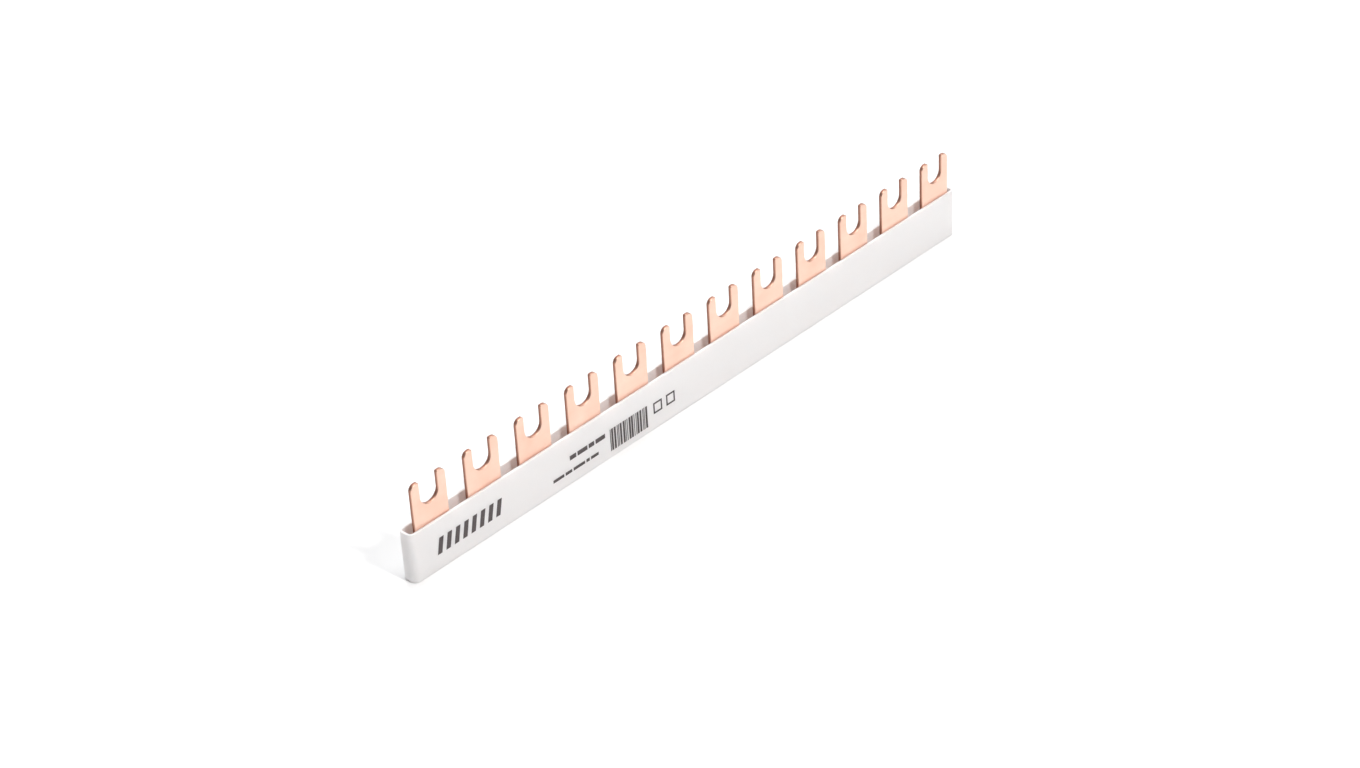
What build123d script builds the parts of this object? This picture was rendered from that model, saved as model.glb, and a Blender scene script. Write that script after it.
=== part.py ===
from build123d import *
import os

# Single-pole fork comb busbar: a stamped copper comb seated in a narrow open-topped plastic channel.
# X runs along the bar, the plain face with the print looks towards -Y, and the forks point up.
# The origin is under the middle of the channel's flat base. All sizes are in millimetres.

# Layout along the bar
module_pitch = 17.8
module_count = 12
end_margin = 2.5

# Copper comb
copper_thickness = 1.0
slot_width = 6.1
slot_depth = 7.3
prong_width = 2.6
fork_reach = 12.6
prong_outer_radius = 1.6
prong_inner_radius = 0.4
fork_root_radius = 0.8
rail_depth_below_rim = 1.5
rail_corner_radius = 0.5

# Plastic channel
housing_height = 14.2
wall_thickness = 0.75
floor_thickness = 0.9
channel_width = 3.3
end_corner_radius = 1.8
inner_corner_radius = 0.6
base_edge_radius = 0.2
floor_corner_radius = 0.3
rim_edge_radius = 0.15

# Ribs that carry the comb and hold it against the front wall
rib_width = 1.4
rib_foot_height = 0.6
rib_drop_below_rim = 3.0
rib_lead_in = 0.7

# Fits
strip_clearance = 0.05

# Points closer together than this count as level with one another
same_level = 0.001

# Sizes that follow from the values above
fork_width = slot_width + 2 * prong_width
comb_length = (module_count - 1) * module_pitch + fork_width
housing_length = comb_length + 2 * end_margin
housing_width = channel_width + 2 * wall_thickness
front_face_y = -housing_width / 2
channel_front_y = front_face_y + wall_thickness
channel_back_y = channel_front_y + channel_width
comb_front_y = channel_front_y + strip_clearance
comb_back_y = comb_front_y + copper_thickness
rib_face_y = comb_back_y + strip_clearance
comb_bottom_z = floor_thickness + rib_foot_height
rail_top_z = housing_height - rail_depth_below_rim
fork_top_z = housing_height + fork_reach
first_fork_x = -(module_count - 1) * module_pitch / 2
fork_centres = [first_fork_x + module_pitch * i for i in range(module_count)]


def along_y(face, near_y, depth):
    """Stands a face drawn in X and Z on the plane Y = near_y and gives it a depth towards +Y."""
    return extrude(Plane((0, near_y, 0), x_dir=(1, 0, 0), z_dir=(0, -1, 0)) * face, depth, dir=(0, 1, 0))


def slot_face():
    """The U-shaped opening between two prongs: straight sides and a half-round bottom."""
    radius = slot_width / 2
    straight = slot_depth - radius
    side_walls = Pos(0, fork_top_z - straight / 2) * Rectangle(slot_width, straight)
    round_bottom = Pos(0, fork_top_z - straight) * Circle(radius)
    return side_walls + round_bottom


def fork_face():
    """One fork with its slot; the prongs are well rounded outside and only eased inside."""
    height = fork_top_z - rail_top_z
    blade = Pos(0, rail_top_z + height / 2) * Rectangle(fork_width, height)
    fork = blade - slot_face()
    tips = fork.vertices().filter_by_position(Axis.Y, fork_top_z - same_level, fork_top_z + same_level)
    outer_tips = [tips.sort_by(Axis.X)[0], tips.sort_by(Axis.X)[-1]]
    inner_tips = [v for v in tips if abs(v.X) < fork_width / 2 - same_level]
    outer_radius = min(prong_outer_radius, prong_width - 1.5 * prong_inner_radius)
    fork = fillet(outer_tips, outer_radius)
    corners = fork.vertices()
    inner_tips = [corners.sort_by_distance(v)[0] for v in inner_tips]
    return fillet(inner_tips, prong_inner_radius)


def rail_face():
    """The strip that joins the forks, with its two lower corners eased."""
    height = rail_top_z - comb_bottom_z
    rail = Pos(0, comb_bottom_z + height / 2) * Rectangle(comb_length, height)
    lower_corners = rail.vertices().group_by(Axis.Y)[0]
    return fillet(lower_corners, rail_corner_radius)


def fork_comb():
    """The comb as stamped from one copper strip."""
    outline = rail_face() + [Pos(x, 0) * fork_face() for x in fork_centres]
    roots = outline.vertices().filter_by_position(Axis.Y, rail_top_z - same_level, rail_top_z + same_level)
    half_length = comb_length / 2
    inner_roots = [v for v in roots if abs(v.X) < half_length - same_level]
    outline = fillet(inner_roots, fork_root_radius)
    return along_y(outline, comb_front_y, copper_thickness)


def along_x(face, length):
    """Turns a face drawn in Y and Z square to the bar and gives it a length, half to each side."""
    return extrude(Plane((-length / 2, 0, 0), x_dir=(0, 1, 0), z_dir=(1, 0, 0)) * face, length, dir=(1, 0, 0))


def channel_block(inset, bottom_z, corner_radius, base_radius):
    """A bar drawn in by inset all round, with rounded corners in plan and eased edges round its base."""
    length = housing_length - 2 * inset
    width = housing_width - 2 * inset
    plan_radius = min(corner_radius, width / 2 - same_level)
    plan = Pos(0, 0, bottom_z) * RectangleRounded(length, width, plan_radius)
    block = extrude(plan, housing_height - bottom_z)
    return fillet(block.faces().sort_by(Axis.Z)[0].edges(), base_radius)


def locating_rib():
    """An L-shaped rib: its foot carries the comb, and its post holds the comb against the front wall."""
    post_top_z = housing_height - rib_drop_below_rim
    section = Polyline(
        (channel_front_y, floor_thickness),
        (channel_back_y, floor_thickness),
        (channel_back_y, post_top_z),
        (rib_face_y + rib_lead_in, post_top_z),
        (rib_face_y, post_top_z - rib_lead_in),
        (rib_face_y, comb_bottom_z),
        (channel_front_y, comb_bottom_z),
        close=True,
    )
    return along_x(make_face(section), rib_width)


def housing():
    """The one-piece moulded channel, closed at both ends and open along the top."""
    outside = channel_block(0, 0, end_corner_radius, base_edge_radius)
    inside = channel_block(wall_thickness, floor_thickness, inner_corner_radius, floor_corner_radius)
    body = outside - inside
    rim_edges = body.faces().sort_by(Axis.Z)[-1].edges()
    body = fillet(rim_edges, rim_edge_radius)
    return body + [Pos(x, 0, 0) * locating_rib() for x in fork_centres]


os.makedirs("parts", exist_ok=True)
export_step(housing(), "parts/housing.step")
export_step(fork_comb(), "parts/fork_comb.step")
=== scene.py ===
import math

import bmesh
import bpy
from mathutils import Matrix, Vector


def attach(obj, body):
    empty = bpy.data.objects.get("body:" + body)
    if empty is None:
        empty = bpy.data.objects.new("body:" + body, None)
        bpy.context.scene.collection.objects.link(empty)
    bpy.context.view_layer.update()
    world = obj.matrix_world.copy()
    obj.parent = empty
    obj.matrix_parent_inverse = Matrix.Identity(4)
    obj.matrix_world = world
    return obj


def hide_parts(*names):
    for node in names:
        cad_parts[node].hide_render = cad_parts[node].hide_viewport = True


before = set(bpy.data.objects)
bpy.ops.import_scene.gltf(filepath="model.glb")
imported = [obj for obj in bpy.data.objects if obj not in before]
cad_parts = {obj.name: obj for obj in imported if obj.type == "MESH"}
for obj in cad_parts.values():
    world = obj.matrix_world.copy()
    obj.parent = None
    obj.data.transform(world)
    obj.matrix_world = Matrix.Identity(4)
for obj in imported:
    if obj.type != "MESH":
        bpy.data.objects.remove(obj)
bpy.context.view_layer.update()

# Sizes of the busbar in millimetres, the same as in the part's source
MM = 0.001
MODULE_PITCH = 17.8
MODULES = 12
END_MARGIN = 2.5
CLEARANCE = 0.05

# Copper comb
COPPER = 1.0
SLOT_WIDTH = 6.1
SLOT_DEPTH = 7.3
PRONG_WIDTH = 2.6
FORK_REACH = 12.6
PRONG_OUTER = 1.6
PRONG_INNER = 0.4
FORK_ROOT = 0.8
RAIL_DEPTH = 1.5
RAIL_CORNER = 0.5

# Plastic channel
CHANNEL_HEIGHT = 14.2
CHANNEL_INSIDE = 3.3
WALL = 0.75
FLOOR = 0.9
END_CORNER = 1.8
INNER_CORNER = 0.6
BASE_EDGE = 0.2
FLOOR_CORNER = 0.3
RIM_EDGE = 0.15

# Ribs inside the channel
RIB_WIDTH = 1.4
RIB_FOOT = 0.6
RIB_DROP = 3.0
RIB_LEAD_IN = 0.7

# Small forms that only this scene has: eased edges, and how far the ribs reach into the walls
PUNCHED_EASE = 0.12
BURR_EASE = 0.04
RIB_EASE = 0.08
RIB_SUNK = 0.1

# Print on the front face: each mark's left end and width along the bar, and its lower and upper edge
STRIPES_LEFT = -98.1
STRIPES = 8
STRIPE_PITCH = 2.85
STRIPE_WIDTH = 1.5
STRIPE_LEAN = 1.0
STRIPE_BAND = (4.35, 8.95)
UPPER_DASHES = ((-51.6, 2.3), (-48.8, 3.6), (-44.7, 2.0), (-42.2, 3.5))
UPPER_BAND = (6.9, 8.2)
LOWER_DASHES = ((-57.9, 3.9), (-53.5, 2.4), (-50.6, 4.2), (-45.9, 1.2), (-44.2, 2.8))
LOWER_BAND = (3.3, 4.2)
BARS_LEFT = -36.9
BARS = 18
BAR_THIN = 0.28
BAR_THICK = 0.68
BAR_GAPS = (0.2, 0.32, 0.44)
BAR_BAND = (1.9, 8.4)
SQUARES_LEFT = (-20.6, -15.7)
SQUARE_SIZE = 3.3
SQUARE_LOW = 4.6
SQUARE_LINE = 0.5
INK_THICKNESS = 0.016

# Sizes that follow from the values above
FORK_WIDTH = SLOT_WIDTH + 2 * PRONG_WIDTH
COMB_LENGTH = (MODULES - 1) * MODULE_PITCH + FORK_WIDTH
CHANNEL_LENGTH = COMB_LENGTH + 2 * END_MARGIN
CHANNEL_WIDTH = CHANNEL_INSIDE + 2 * WALL
FRONT_FACE = -CHANNEL_WIDTH / 2
COMB_FRONT = FRONT_FACE + WALL + CLEARANCE
COMB_BACK = COMB_FRONT + COPPER
COMB_BOTTOM = FLOOR + RIB_FOOT
RAIL_TOP = CHANNEL_HEIGHT - RAIL_DEPTH
FORK_TOP = CHANNEL_HEIGHT + FORK_REACH
SLOT_BOTTOM = FORK_TOP - SLOT_DEPTH
RIB_FACE = COMB_BACK + CLEARANCE
RIB_TOP = CHANNEL_HEIGHT - RIB_DROP
INK_FRONT = FRONT_FACE - INK_THICKNESS / 2
FORK_CENTRES = [MODULE_PITCH * (i - (MODULES - 1) / 2) for i in range(MODULES)]


def clear_selection():
    if bpy.context.object is not None and bpy.context.object.mode != "OBJECT":
        bpy.ops.object.mode_set(mode="OBJECT")
    bpy.ops.object.select_all(action="DESELECT")


def make_active(piece):
    """Selects one piece alone."""
    clear_selection()
    piece.select_set(True)
    bpy.context.view_layer.objects.active = piece


def open_new(name):
    """Starts a piece as an empty mesh, open for editing."""
    clear_selection()
    bpy.ops.mesh.primitive_plane_add(size=1)
    piece = bpy.context.object
    piece.name = name
    piece.data.name = name
    bpy.ops.object.mode_set(mode="EDIT")
    bpy.ops.mesh.delete(type="VERT")
    return piece


def shift(x=0.0, y=0.0, z=0.0):
    """Moves what is selected by so many millimetres."""
    bpy.ops.transform.translate(value=(x * MM, y * MM, z * MM))


def pull_out(x=0.0, y=0.0, z=0.0):
    """Extrudes the selected faces by so many millimetres."""
    bpy.ops.mesh.extrude_region_move(TRANSFORM_OT_translate={"value": (x * MM, y * MM, z * MM)})


def flat_sheet(width, depth, at):
    """Adds a flat sheet to the open mesh, looking up, in millimetres."""
    bpy.ops.mesh.primitive_plane_add(size=1)
    bpy.ops.transform.resize(value=(width * MM, depth * MM, 1))
    shift(*at)


def upright_sheet(width, height, at):
    """Adds a sheet that stands up and looks to the front, in millimetres."""
    bpy.ops.mesh.primitive_plane_add(size=1)
    bpy.ops.transform.resize(value=(width * MM, height * MM, 1))
    bpy.ops.transform.rotate(value=-math.pi / 2, orient_axis="X", center_override=(0, 0, 0))
    shift(*at)


def pick(kind, test):
    """Selects points, edges or faces of the open mesh by a test on their place in millimetres."""
    mesh = bpy.context.object.data
    bpy.ops.mesh.select_mode(type=kind)
    bpy.ops.mesh.select_all(action="DESELECT")
    bm = bmesh.from_edit_mesh(mesh)
    if kind == "VERT":
        for v in bm.verts:
            v.select = test(v.co / MM)
    elif kind == "EDGE":
        for e in bm.edges:
            e.select = all(test(v.co / MM) for v in e.verts)
    else:
        for f in bm.faces:
            f.select = test(f.calc_center_median() / MM)
    bm.select_flush_mode()
    bmesh.update_edit_mesh(mesh)


def near(value, target, slack=0.004):
    return abs(value - target) < slack


def round_points(radius, segments):
    """Rounds the selected corner points of a flat outline."""
    bpy.ops.mesh.bevel(offset=radius * MM, segments=segments, affect="VERTICES")


def ease_edges(width, segments):
    """Rounds the selected edges, or cuts them at a slope where there is one segment."""
    bpy.ops.mesh.bevel(offset=width * MM, segments=segments, affect="EDGES")


def cut_line(at, across):
    """Scores the open mesh along a line, ready to take waste away."""
    bpy.ops.mesh.select_all(action="SELECT")
    bpy.ops.mesh.bisect(plane_co=[c * MM for c in at], plane_no=across)


def turn_faces_out():
    bpy.ops.mesh.select_all(action="SELECT")
    bpy.ops.mesh.normals_make_consistent(inside=False)


def close_up(piece):
    """Merges doubles, turns the faces outwards and smooths the shading over the rounded edges."""
    bpy.ops.mesh.select_mode(type="VERT")
    bpy.ops.mesh.select_all(action="SELECT")
    bpy.ops.mesh.remove_doubles(threshold=0.002 * MM)
    bpy.ops.mesh.normals_make_consistent(inside=False)
    make_active(piece)
    bpy.ops.object.shade_smooth_by_angle(angle=math.radians(40))


def keep_flats_flat(piece):
    """Weights the shading by face size, so that the long flat faces stay flat up to their eased edges."""
    make_active(piece)
    weighting = piece.modifiers.new("face_weights", "WEIGHTED_NORMAL")
    weighting.weight = 100
    weighting.keep_sharp = True
    bpy.ops.object.modifier_apply(modifier=weighting.name)


def outline_size():
    """Length and width, in millimetres, of the selected outline."""
    bm = bmesh.from_edit_mesh(bpy.context.object.data)
    places = [v.co / MM for v in bm.verts if v.select]
    xs, ys = [p.x for p in places], [p.y for p in places]
    return max(xs) - min(xs), max(ys) - min(ys)


def rim_outline(length, width, corner, level, segments):
    """Adds one rounded outline at this level, as edges with no face."""
    flat_sheet(length, width, (0, 0, level))
    round_points(corner, segments)
    bpy.ops.mesh.delete(type="ONLY_FACE")


def draw_walls_down(top, bottom, edge, steps):
    """Extrudes the selected outline down to the bottom and draws it in there over a rounded edge."""
    length, width = outline_size()
    drawn_x, drawn_y, height = length, width, top
    for i in range(steps + 1):
        turn = math.pi / 2 * i / steps
        level, inset = bottom + edge * (1 - math.sin(turn)), edge * (1 - math.cos(turn))
        bpy.ops.mesh.extrude_edges_move(TRANSFORM_OT_translate={"value": (0, 0, (level - height) * MM)})
        next_x, next_y = length - 2 * inset, width - 2 * inset
        bpy.ops.transform.resize(value=(next_x / drawn_x, next_y / drawn_y, 1), center_override=(0, 0, 0))
        drawn_x, drawn_y, height = next_x, next_y, level


def drop_rim_spokes():
    """Of the rim's selected edges, keeps its outer and inner outline and lets go of those across it."""
    mesh = bpy.context.object.data
    bm = bmesh.from_edit_mesh(mesh)
    for e in bm.edges:
        if e.select and all(near(f.normal.z, 1, 0.01) for f in e.link_faces):
            e.select = False
    bmesh.update_edit_mesh(mesh)


def channel_shell():
    """The moulded channel without its ribs: thin walls, rounded ends, eased base and rim."""
    segments, steps = 10, 4
    # The inner outline starts higher up, so that the two can be told apart until they are bridged
    lift = 2
    lifted = CHANNEL_HEIGHT + lift
    shell = open_new("channel_shell")
    rim_outline(CHANNEL_LENGTH, CHANNEL_WIDTH, END_CORNER, CHANNEL_HEIGHT, segments)
    pick("EDGE", lambda p: near(p.z, CHANNEL_HEIGHT))
    draw_walls_down(CHANNEL_HEIGHT, 0, BASE_EDGE, steps)
    bpy.ops.mesh.edge_face_add()
    bpy.ops.mesh.select_all(action="DESELECT")
    rim_outline(CHANNEL_LENGTH - 2 * WALL, CHANNEL_WIDTH - 2 * WALL, INNER_CORNER, lifted, segments)
    pick("EDGE", lambda p: near(p.z, lifted))
    draw_walls_down(lifted, FLOOR, FLOOR_CORNER, steps)
    bpy.ops.mesh.edge_face_add()
    pick("EDGE", lambda p: near(p.z, CHANNEL_HEIGHT) or near(p.z, lifted))
    bpy.ops.mesh.bridge_edge_loops()
    pick("VERT", lambda p: near(p.z, lifted))
    shift(z=-lift)
    turn_faces_out()
    pick("EDGE", lambda p: near(p.z, CHANNEL_HEIGHT))
    drop_rim_spokes()
    ease_edges(RIM_EDGE, 3)
    close_up(shell)
    return shell


def locating_rib():
    """One L-shaped rib: a foot under the comb and a post behind it with a sloped lead-in."""
    foot_front, foot_back = FRONT_FACE + WALL - RIB_SUNK, CHANNEL_WIDTH / 2 - WALL + RIB_SUNK
    foot_bottom = FLOOR - RIB_SUNK
    rib = open_new("rib")
    flat_sheet(RIB_WIDTH, foot_back - foot_front, (0, (foot_front + foot_back) / 2, foot_bottom))
    pull_out(z=COMB_BOTTOM - foot_bottom)
    cut_line((0, RIB_FACE, 0), (0, 1, 0))
    pick("FACE", lambda p: near(p.z, COMB_BOTTOM) and p.y > RIB_FACE)
    pull_out(z=RIB_TOP - COMB_BOTTOM)
    pick("EDGE", lambda p: near(p.z, RIB_TOP) and near(p.y, RIB_FACE))
    ease_edges(RIB_LEAD_IN, 1)
    pick("EDGE", lambda p: p.z > COMB_BOTTOM + 0.1 and p.y < RIB_FACE + RIB_LEAD_IN + 0.01)
    ease_edges(RIB_EASE, 2)
    close_up(rib)
    return rib


def copy_along(piece, x):
    """A copy of the piece with its own mesh, moved along the bar."""
    make_active(piece)
    bpy.ops.object.duplicate()
    copy = bpy.context.object
    bpy.ops.object.mode_set(mode="EDIT")
    bpy.ops.mesh.select_all(action="SELECT")
    shift(x=x)
    bpy.ops.object.mode_set(mode="OBJECT")
    return copy


def moulded_channel():
    """The channel with its twelve ribs, as one piece."""
    shell = channel_shell()
    rib = locating_rib()
    copies = [copy_along(rib, x) for x in FORK_CENTRES]
    bpy.data.objects.remove(rib)
    make_active(shell)
    for copy in copies:
        copy.select_set(True)
    bpy.ops.object.join()
    keep_flats_flat(shell)
    return shell


def off_centre(p):
    """How far along the bar a place is from the middle of the nearest fork."""
    return min(abs(p.x - x) for x in FORK_CENTRES)


def is_waste(p):
    """True between the forks and inside their slots, where the strip is punched away."""
    between_forks = off_centre(p) > FORK_WIDTH / 2
    in_slot = p.z > SLOT_BOTTOM and off_centre(p) < SLOT_WIDTH / 2
    return p.z > RAIL_TOP and (between_forks or in_slot)


def punch_forks():
    """Scores the blank strip along the forks and slots and takes the waste away."""
    for x in FORK_CENTRES:
        for offset in (-FORK_WIDTH / 2, -SLOT_WIDTH / 2, SLOT_WIDTH / 2, FORK_WIDTH / 2):
            cut_line((x + offset, 0, 0), (1, 0, 0))
    cut_line((0, 0, RAIL_TOP), (0, 0, 1))
    cut_line((0, 0, SLOT_BOTTOM), (0, 0, 1))
    pick("FACE", is_waste)
    bpy.ops.mesh.delete(type="FACE")
    bpy.ops.mesh.select_all(action="SELECT")
    bpy.ops.mesh.dissolve_limited(angle_limit=math.radians(1))


def round_comb_corners():
    """Rounds the prongs, the slots' bottoms, the forks' roots and the rail's lower corners."""
    pick("VERT", lambda p: near(p.z, FORK_TOP) and near(off_centre(p), FORK_WIDTH / 2))
    round_points(PRONG_OUTER, 9)
    pick("VERT", lambda p: near(p.z, FORK_TOP) and near(off_centre(p), SLOT_WIDTH / 2))
    round_points(PRONG_INNER, 5)
    pick("VERT", lambda p: near(p.z, SLOT_BOTTOM))
    round_points(SLOT_WIDTH / 2 - 0.001, 14)
    pick("VERT", lambda p: near(p.z, RAIL_TOP) and abs(p.x) < COMB_LENGTH / 2 - 1)
    round_points(FORK_ROOT, 6)
    pick("VERT", lambda p: near(p.z, COMB_BOTTOM))
    round_points(RAIL_CORNER, 8)
    bpy.ops.mesh.select_all(action="SELECT")
    bpy.ops.mesh.remove_doubles(threshold=0.004 * MM)


def stamped_comb():
    """The copper comb: one strip with twelve forks, blanked so that the front has the softer edges."""
    height = FORK_TOP - COMB_BOTTOM
    comb = open_new("stamped_comb")
    upright_sheet(COMB_LENGTH, height, (0, COMB_FRONT, COMB_BOTTOM + height / 2))
    punch_forks()
    round_comb_corners()
    bpy.ops.mesh.select_all(action="SELECT")
    pull_out(y=COPPER)
    turn_faces_out()
    pick("EDGE", lambda p: near(p.y, COMB_FRONT))
    ease_edges(PUNCHED_EASE, 3)
    pick("EDGE", lambda p: near(p.y, COMB_BACK))
    ease_edges(BURR_EASE, 2)
    close_up(comb)
    keep_flats_flat(comb)
    return comb


def lean_over(middle, lean):
    """Moves the upper points of the selected patch to the right."""
    mesh = bpy.context.object.data
    bm = bmesh.from_edit_mesh(mesh)
    for v in bm.verts:
        if v.select and v.co.z < middle * MM:
            v.select = False
    bm.select_flush_mode()
    bmesh.update_edit_mesh(mesh)
    shift(x=lean)


def ink_patch(left, width, band, lean=0.0):
    """One upright patch of print in a band of the front face; its top may lean over to the right."""
    low, high = band
    bpy.ops.mesh.select_mode(type="VERT")
    bpy.ops.mesh.select_all(action="DESELECT")
    upright_sheet(width, high - low, (left + width / 2, INK_FRONT, (low + high) / 2))
    if lean:
        lean_over((low + high) / 2, lean)
    bpy.ops.mesh.select_all(action="DESELECT")


def ink_square(left):
    """A plain square outline."""
    bpy.ops.mesh.select_mode(type="FACE")
    middle = (left + SQUARE_SIZE / 2, INK_FRONT, SQUARE_LOW + SQUARE_SIZE / 2)
    upright_sheet(SQUARE_SIZE, SQUARE_SIZE, middle)
    bpy.ops.mesh.inset(thickness=SQUARE_LINE * MM)
    bpy.ops.mesh.delete(type="FACE")


def ink_bars():
    """A row of thin and thick bars with uneven gaps."""
    left = BARS_LEFT
    for i in range(BARS):
        width = BAR_THICK if i % 4 in (1, 2) else BAR_THIN
        ink_patch(left, width, BAR_BAND)
        left += width + BAR_GAPS[i % len(BAR_GAPS)]


def printed_marks():
    """The print on the front face: plain stripes, dashes, bars and squares, as a thin layer of ink."""
    marks = open_new("printed_marks")
    for i in range(STRIPES):
        ink_patch(STRIPES_LEFT + STRIPE_PITCH * i, STRIPE_WIDTH, STRIPE_BAND, STRIPE_LEAN)
    for left, width in UPPER_DASHES:
        ink_patch(left, width, UPPER_BAND)
    for left, width in LOWER_DASHES:
        ink_patch(left, width, LOWER_BAND)
    ink_bars()
    for left in SQUARES_LEFT:
        ink_square(left)
    bpy.ops.mesh.select_mode(type="FACE")
    bpy.ops.mesh.select_all(action="SELECT")
    pull_out(y=INK_THICKNESS)
    close_up(marks)
    return marks


class Finish:
    """A material under construction: its node tree and its one surface shader."""

    def __init__(self, name, colour, roughness, metallic=0.0):
        self.material = bpy.data.materials.new(name)
        self.material.use_nodes = True
        self.nodes = self.material.node_tree.nodes
        self.links = self.material.node_tree.links
        self.shader = self.nodes["Principled BSDF"]
        self.shader.inputs["Base Color"].default_value = (*colour, 1)
        self.shader.inputs["Roughness"].default_value = roughness
        self.shader.inputs["Metallic"].default_value = metallic
        self.place = self.nodes.new("ShaderNodeTexCoord")

    def stretched(self, scale):
        """Object coordinates with each axis scaled by itself, for grain that runs one way."""
        mapping = self.nodes.new("ShaderNodeMapping")
        mapping.inputs["Scale"].default_value = scale
        self.links.new(self.place.outputs["Object"], mapping.inputs["Vector"])
        return mapping.outputs["Vector"]

    def noise(self, scale, detail=3.0, rough=0.5, stretch=(1, 1, 1)):
        node = self.nodes.new("ShaderNodeTexNoise")
        node.inputs["Scale"].default_value = scale
        node.inputs["Detail"].default_value = detail
        node.inputs["Roughness"].default_value = rough
        self.links.new(self.stretched(stretch), node.inputs["Vector"])
        return node.outputs["Fac"]

    def spread(self, value, low, high, start=0.3, end=0.7):
        """Maps the useful part of a pattern on to a range of values."""
        node = self.nodes.new("ShaderNodeMapRange")
        node.inputs["From Min"].default_value = start
        node.inputs["From Max"].default_value = end
        node.inputs["To Min"].default_value = low
        node.inputs["To Max"].default_value = high
        self.links.new(value, node.inputs["Value"])
        return node.outputs["Result"]

    def tint(self, value, low_colour, high_colour, start=0.3, end=0.7):
        """Maps the useful part of a pattern on to a run from one colour to another."""
        node = self.nodes.new("ShaderNodeValToRGB")
        low, high = node.color_ramp.elements
        low.position, low.color = start, (*low_colour, 1)
        high.position, high.color = end, (*high_colour, 1)
        self.links.new(value, node.inputs["Fac"])
        return node.outputs["Color"]

    def relief(self, value, depth_mm, under=None):
        """Bump of this depth, laid over another bump where one is given."""
        node = self.nodes.new("ShaderNodeBump")
        node.inputs["Strength"].default_value = 1.0
        node.inputs["Distance"].default_value = depth_mm * MM
        self.links.new(value, node.inputs["Height"])
        if under is not None:
            self.links.new(under, node.inputs["Normal"])
        return node.outputs["Normal"]

    def set(self, socket, value):
        self.links.new(value, self.shader.inputs[socket])


def satin_plastic():
    """Moulded grey-white plastic: fine spark texture, slow flow marks and light inside its thin walls."""
    finish = Finish("satin_plastic", (0.88, 0.86, 0.858), 0.42)
    clouds = finish.noise(45, 2.0, stretch=(0.25, 1, 1))
    finish.set("Base Color", finish.tint(clouds, (0.868, 0.832, 0.828), (0.898, 0.861, 0.857)))
    grain = finish.noise(5200, 2.0)
    finish.set("Roughness", finish.spread(grain, 0.36, 0.5))
    slow = finish.relief(finish.noise(38, 1.0, stretch=(0.3, 1, 1)), 0.05)
    finish.set("Normal", finish.relief(grain, 0.006, slow))
    finish.shader.inputs["Subsurface Weight"].default_value = 0.8
    finish.shader.inputs["Subsurface Radius"].default_value = (1.0, 0.93, 0.9)
    finish.shader.inputs["Subsurface Scale"].default_value = 0.0016
    finish.shader.inputs["IOR"].default_value = 1.5
    return finish.material


def rolled_copper():
    """Bright copper strip with the grain of its rolling along the bar and faint handling clouds."""
    finish = Finish("rolled_copper", (0.93, 0.635, 0.515), 0.34, 1.0)
    streaks = finish.noise(900, 4.0, 0.6, stretch=(0.035, 1, 1))
    fine = finish.noise(5200, 3.0, 0.6, stretch=(0.02, 1, 1))
    clouds = finish.noise(120, 3.0)
    finish.set("Base Color", finish.tint(clouds, (0.895, 0.57, 0.45), (0.935, 0.655, 0.535)))
    finish.set("Roughness", finish.spread(streaks, 0.28, 0.44))
    finish.set("Normal", finish.relief(fine, 0.004, finish.relief(streaks, 0.006)))
    return finish.material


def sheared_copper_painted_shade():
    """The punched edges, in copper darker than the rolled faces as painted shade: a burnished band towards
    the front, lighter partly as painted light, and a duller, torn band behind it.
    """
    finish = Finish("sheared_copper_painted_shade", (0.62, 0.32, 0.22), 0.45, 1.0)
    # Both band colours are copper darkened as painted shade on the edges, and the burnished band's lighter
    # tone is partly painted light at the front. The two bands themselves follow the real burnished and torn
    # zones of a sheared edge.
    burnished_and_lit, torn_and_shaded = (0.66, 0.385, 0.29), (0.42, 0.21, 0.15)
    band_start, band_end = (COMB_FRONT + 0.42) * MM, (COMB_FRONT + 0.56) * MM
    split = finish.nodes.new("ShaderNodeSeparateXYZ")
    finish.links.new(finish.place.outputs["Object"], split.inputs["Vector"])
    ragged = finish.noise(1400, 3.0)
    wander = finish.nodes.new("ShaderNodeMath")
    wander.operation = "MULTIPLY_ADD"
    wander.inputs[1].default_value = 0.22 * MM
    finish.links.new(ragged, wander.inputs[0])
    finish.links.new(split.outputs["Y"], wander.inputs[2])
    depth = finish.spread(wander.outputs["Value"], 0.0, 1.0, band_start, band_end)
    finish.set("Base Color", finish.tint(depth, burnished_and_lit, torn_and_shaded, 0.0, 1.0))
    finish.set("Roughness", finish.spread(depth, 0.42, 0.62, 0.0, 1.0))
    drawn = finish.noise(2600, 2.0, stretch=(1, 0.08, 1))
    pits = finish.noise(3800, 3.0)
    finish.set("Normal", finish.relief(pits, 0.012, finish.relief(drawn, 0.008)))
    return finish.material


def print_ink():
    """Matt grey-brown ink, a little uneven where it was pressed on."""
    finish = Finish("print_ink", (0.085, 0.07, 0.072), 0.6)
    grain = finish.noise(2400, 2.0)
    finish.set("Base Color", finish.tint(grain, (0.06, 0.046, 0.048), (0.095, 0.076, 0.078)))
    finish.set("Roughness", finish.spread(grain, 0.52, 0.68))
    finish.set("Normal", finish.relief(grain, 0.002))
    return finish.material


def pale_floor():
    """The plain white ground of the studio, hardly clouded."""
    finish = Finish("pale_floor", (0.94, 0.94, 0.94), 0.8)
    clouds = finish.noise(3, 2.0)
    finish.set("Base Color", finish.tint(clouds, (0.935, 0.935, 0.935), (0.945, 0.945, 0.945)))
    return finish.material


def dress(piece, *materials):
    piece.data.materials.clear()
    for material in materials:
        piece.data.materials.append(material)


def mark_punched_edges(comb):
    """Gives the faces that look sideways, up or down the second material, the sheared copper darkened as
    painted shade.
    """
    for face in comb.data.polygons:
        face.material_index = 1 if abs(face.normal.y) < 0.5 else 0


def studio_floor():
    """A wide flat ground under the busbar."""
    clear_selection()
    bpy.ops.mesh.primitive_plane_add(size=6)
    ground = bpy.context.object
    ground.name = "studio_floor"
    return ground


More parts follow.
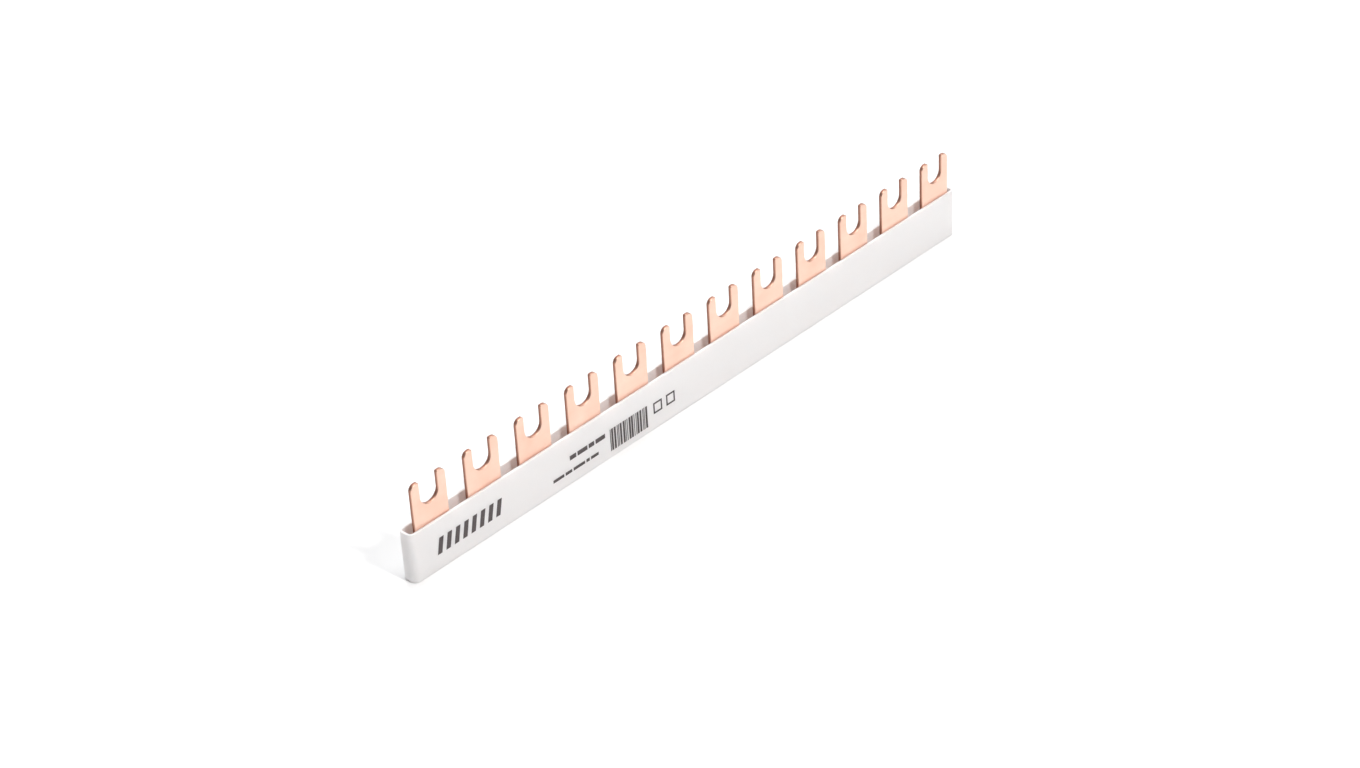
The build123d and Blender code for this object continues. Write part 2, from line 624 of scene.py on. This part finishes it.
def softbox(name, at, aim, size, watts, colour):
    """A rectangular lamp at a place in metres, turned towards its aim."""
    light = bpy.data.lights.new(name, "AREA")
    light.color = colour
    light.shape = "RECTANGLE"
    light.size, light.size_y = size
    light.energy = watts
    lamp = bpy.data.objects.new(name, light)
    bpy.context.scene.collection.objects.link(lamp)
    lamp.location = at
    lamp.rotation_euler = (Vector(at) - Vector(aim)).to_track_quat("Z", "Y").to_euler()


def surroundings(colour, strength):
    """Even, slightly cool light from all round."""
    world = bpy.data.worlds.new("studio")
    bpy.context.scene.world = world
    world.use_nodes = True
    background = world.node_tree.nodes["Background"]
    background.inputs["Color"].default_value = (*colour, 1)
    background.inputs["Strength"].default_value = strength


def camera(place, turn_degrees, lens):
    """The camera, at a place in metres."""
    data = bpy.data.cameras.new("camera")
    data.lens = lens
    data.sensor_width = 36
    data.sensor_fit = "HORIZONTAL"
    data.clip_start = 0.01
    viewer = bpy.data.objects.new("camera", data)
    bpy.context.scene.collection.objects.link(viewer)
    viewer.location = place
    viewer.rotation_euler = [math.radians(a) for a in turn_degrees]
    bpy.context.scene.camera = viewer


channel = moulded_channel()
dress(channel, satin_plastic())
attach(channel, "root")
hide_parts("housing")

comb = stamped_comb()
dress(comb, rolled_copper(), sheared_copper_painted_shade())
mark_punched_edges(comb)
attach(comb, "root")
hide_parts("fork_comb")

marks = printed_marks()
dress(marks, print_ink())
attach(marks, "root")

ground = studio_floor()
dress(ground, pale_floor())

softbox("key", at=(0, -0.93, 0.94), aim=(0, 0, 0.01), size=(0.16, 0.16), watts=8.2, colour=(1, 0.975, 0.95))
softbox("top", at=(0.05, 0.1, 1.1), aim=(0, 0, 0), size=(1, 1), watts=10, colour=(1, 1, 1))
softbox("back", at=(0.75, 0.85, 0.75), aim=(0, 0, 0.02), size=(0.8, 0.8), watts=4.6, colour=(1, 1, 1))
surroundings(colour=(0.93, 0.965, 1), strength=0.2)

camera(place=(-0.486255, -0.455431, 0.428349), turn_degrees=(57.3848, 2.806, -48.2139), lens=80.0367)
bpy.context.scene.view_settings.view_transform = "Standard"
